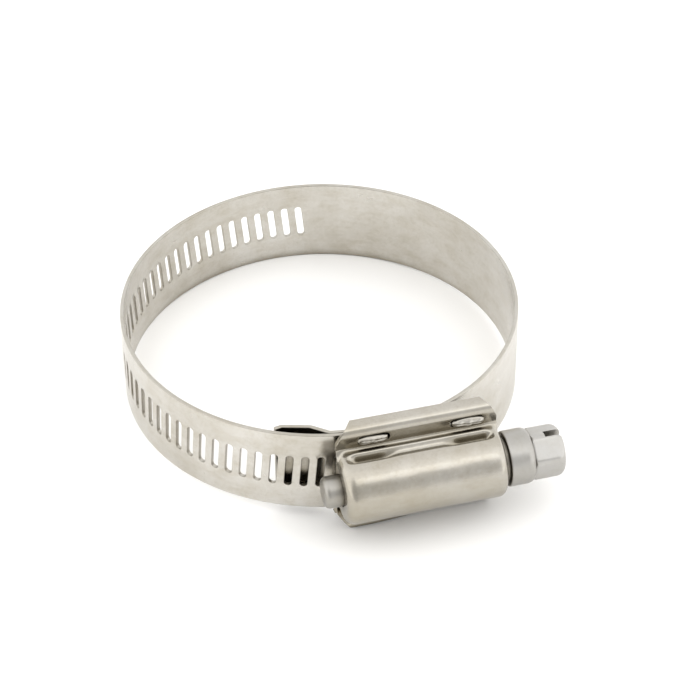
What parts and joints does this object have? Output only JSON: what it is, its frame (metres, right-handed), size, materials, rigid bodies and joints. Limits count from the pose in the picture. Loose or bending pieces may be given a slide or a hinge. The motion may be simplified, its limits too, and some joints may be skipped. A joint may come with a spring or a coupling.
{
  "type": "worm-drive hose clamp",
  "caption": "Worm-drive hose clamp: a slotted steel band closed around a hose by a slotted hex-head worm screw in a stamped housing.",
  "frame": {"origin": "on the ring's axis at the middle of the band's width, with the clamp fully open", "axes": "+Z along the ring's axis; +X along the worm screw, from its plain tip to its hex head; -Y from the ring's centre to the housing"},
  "size_m": [0.0689, 0.0793, 0.0202],
  "materials": {
    "band_steel": "satin rolled stainless strip",
    "shell_steel": "bright stamped stainless sheet",
    "saddle_steel": "dull stamped stainless sheet",
    "screw_steel": "tumbled stainless, fine grey grain"
  },
  "bodies": {
    "clamp_body": {"housing": "shell_steel", "saddle": "saddle_steel", "band_fixed_end": "band_steel"},
    "screw": {"worm_screw": "screw_steel", "worm_thread": "screw_steel"},
    "tail": {"band_tail": "band_steel"},
    "plain_1": {"band_plain_1": "band_steel"},
    "plain_2": {"band_plain_2": "band_steel"},
    "plain_3": {"band_plain_3": "band_steel"},
    "plain_4": {"band_plain_4": "band_steel"},
    "slotted_1": {"band_slotted_1": "band_steel"},
    "slotted_2": {"band_slotted_2": "band_steel"},
    "slotted_3": {"band_slotted_3": "band_steel"},
    "slotted_4": {"band_slotted_4": "band_steel"}
  },
  "joints": [
    {"name": "screw_spin", "type": "hinge", "parent": "clamp_body", "child": "screw", "pos_m": [0, -0.0386, 0], "axis": [-1, 0, 0], "range_deg": [0, 1800]},
    {"name": "tail_travel", "type": "hinge", "parent": "clamp_body", "child": "tail", "pos_m": [0, 0, 0], "axis": [0, 0, 1], "range_deg": [0, 21.61]},
    {"name": "plain_bend_1", "type": "hinge", "parent": "clamp_body", "child": "plain_1", "pos_m": [0.02232, -0.02479, 0], "axis": [0, 0, 1], "range_deg": [0, 3.62]},
    {"name": "plain_bend_2", "type": "hinge", "parent": "plain_1", "child": "plain_2", "pos_m": [0.03209, -0.00936, 0], "axis": [0, 0, 1], "range_deg": [0, 2.6]},
    {"name": "plain_bend_3", "type": "hinge", "parent": "plain_2", "child": "plain_3", "pos_m": [0.0324, 0.00891, 0], "axis": [0, 0, 1], "range_deg": [0, 2.19]},
    {"name": "plain_bend_4", "type": "hinge", "parent": "plain_3", "child": "plain_4", "pos_m": [0.02316, 0.02466, 0], "axis": [0, 0, 1], "range_deg": [0, 2.39]},
    {"name": "slotted_bend_1", "type": "hinge", "parent": "tail", "child": "slotted_1", "pos_m": [-0.0192, -0.02813, 0], "axis": [0, 0, -1], "range_deg": [0, 1.38]},
    {"name": "slotted_bend_2", "type": "hinge", "parent": "slotted_1", "child": "slotted_2", "pos_m": [-0.0326, -0.00987, 0], "axis": [0, 0, -1], "range_deg": [0, 2.52]},
    {"name": "slotted_bend_3", "type": "hinge", "parent": "slotted_2", "child": "slotted_3", "pos_m": [-0.03158, 0.01275, 0], "axis": [0, 0, -1], "range_deg": [0, 3.52]},
    {"name": "slotted_bend_4", "type": "hinge", "parent": "slotted_3", "child": "slotted_4", "pos_m": [-0.01661, 0.02974, 0], "axis": [0, 0, -1], "range_deg": [0, 3.6]}
  ],
  "couplings": [
    {"joint": "tail_travel", "follows": "screw_spin", "ratio": 0.011986},
    {"joint": "plain_bend_1", "follows": "screw_spin", "ratio": 0.0019928},
    {"joint": "plain_bend_2", "follows": "screw_spin", "ratio": 0.0014289},
    {"joint": "plain_bend_3", "follows": "screw_spin", "ratio": 0.0011994},
    {"joint": "plain_bend_4", "follows": "screw_spin", "ratio": 0.0013123},
    {"joint": "slotted_bend_1", "follows": "screw_spin", "ratio": 0.00074943},
    {"joint": "slotted_bend_2", "follows": "screw_spin", "ratio": 0.0013817},
    {"joint": "slotted_bend_3", "follows": "screw_spin", "ratio": 0.0019391},
    {"joint": "slotted_bend_4", "follows": "screw_spin", "ratio": 0.0019827}
  ]
}
